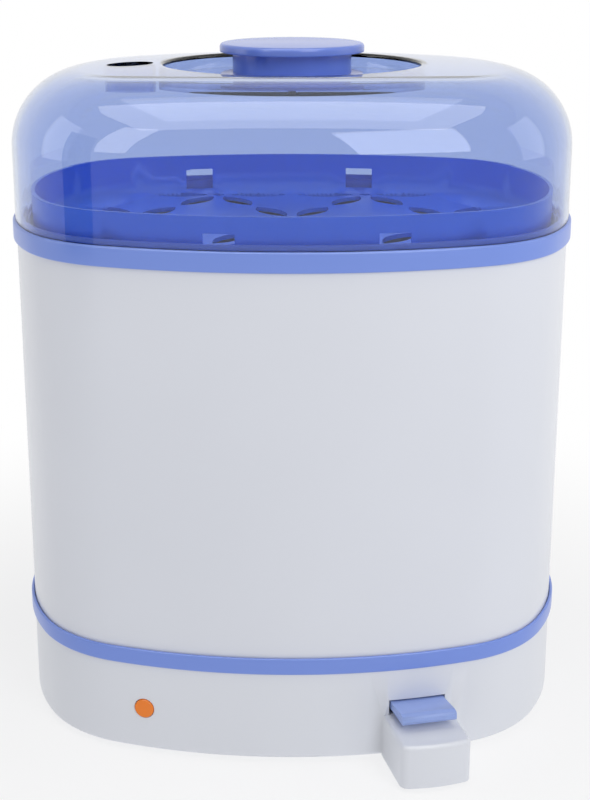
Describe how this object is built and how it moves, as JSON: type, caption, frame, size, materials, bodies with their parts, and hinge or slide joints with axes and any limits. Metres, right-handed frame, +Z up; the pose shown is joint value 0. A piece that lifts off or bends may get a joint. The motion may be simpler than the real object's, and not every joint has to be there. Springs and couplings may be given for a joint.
{
  "type": "baby bottle sterilizer",
  "caption": "Oval electric steam sterilizer with a clear domed lid and knob, a small-parts tray, a bottle rack in a frosted sleeve, and a base with a press switch and pilot lamp",
  "frame": {"origin": "under the middle of the bounding box, on the plane of the four feet's soles, 12.7 mm in front of the oval plan's centre", "axes": "+Z up, +Y to the back where the cord inlet is, +X to the right of someone who faces the switch"},
  "size_m": [0.28, 0.2369, 0.3398],
  "materials": {
    "white_plastic": "smooth, satin sheen",
    "frosted_plastic": "smooth frosted skin with a soft sheen",
    "pale_blue_plastic": "smooth, satin sheen",
    "mid_blue_plastic": "smooth and glossy",
    "deep_blue_plastic": "smooth and glossy",
    "clear_lid": "clear and polished",
    "orange_lens": "glossy translucent orange",
    "lamp_glass": "clear glass",
    "foot_rubber": "matte",
    "silicone": "matte",
    "stainless_plate": "circular brushed",
    "steel": "bright zinc plated",
    "cast_aluminium": "as cast, matte",
    "fuse_brass": "dull",
    "ferrite": "matte sintered",
    "black_plastic": "matte moulded",
    "nylon": "matte natural"
  },
  "bodies": {
    "base": {"base_housing": "white_plastic", "base_deck": "white_plastic", "bottom_cover": "white_plastic", "rubber_feet": "foot_rubber", "cover_screws": "steel", "plate_gasket": "silicone", "heating_plate": "stainless_plate", "plate_screws": "steel", "heater_element": "cast_aluminium", "thermal_fuse": "fuse_brass", "fuse_clip": "steel", "thermostat_cup": "cast_aluminium", "ferrite_disc": "ferrite", "plunger_spring": "steel", "lever_pin": "steel", "micro_switch": "black_plastic", "indicator_lens": "orange_lens", "lamp_holder": "black_plastic", "indicator_lamp": "lamp_glass", "cord_gland": "white_plastic", "terminal_block": "nylon"},
    "lever": {"switch_lever": "pale_blue_plastic", "lever_arm": "steel"},
    "plunger": {"thermostat_plunger": "steel"},
    "sleeve": {"lower_trim_ring": "pale_blue_plastic", "body_sleeve": "frosted_plastic", "upper_trim_ring": "pale_blue_plastic"},
    "rack": {"bottle_rack": "white_plastic", "rack_legs": "white_plastic", "bottle_collar_front_left": "white_plastic", "bottle_collar_front_middle": "white_plastic", "bottle_collar_front_right": "white_plastic", "bottle_collar_back_left": "white_plastic", "bottle_collar_back_middle": "white_plastic", "bottle_collar_back_right": "white_plastic", "rack_handle": "white_plastic"},
    "tray": {"small_parts_tray": "deep_blue_plastic"},
    "lid": {"lid_shell": "clear_lid", "knob_flange": "mid_blue_plastic", "knob_neck": "mid_blue_plastic", "knob_cap": "mid_blue_plastic", "knob_washer": "steel", "knob_screw": "steel"}
  },
  "joints": [
    {"name": "lever_press", "type": "hinge", "parent": "base", "child": "lever", "pos_m": [0.05365, -0.05034, 0.029], "axis": [0.9723, 0.2339, 0], "range_deg": [0, 4.24], "stiffness_Nm_per_rad": 0.8, "springref_deg": -5.73},
    {"name": "plunger_slide", "type": "slide", "parent": "base", "child": "plunger", "axis": [0, 0, 1], "range_m": [0, 0.0059], "deforming": ["plunger_spring"]},
    {"name": "sleeve_lift", "type": "slide", "parent": "base", "child": "sleeve", "axis": [0, 0, 1], "range_m": [0, 0.06]},
    {"name": "rack_lift", "type": "slide", "parent": "sleeve", "child": "rack", "axis": [0, 0, 1], "range_m": [0, 0.22]},
    {"name": "tray_lift", "type": "slide", "parent": "rack", "child": "tray", "axis": [0, 0, 1], "range_m": [0, 0.05]},
    {"name": "lid_lift", "type": "slide", "parent": "tray", "child": "lid", "axis": [0, 0, 1], "range_m": [0, 0.08]}
  ],
  "couplings": [
    {"joint": "plunger_slide", "follows": "lever_press", "m_per_rad": 0.07884}
  ]
}
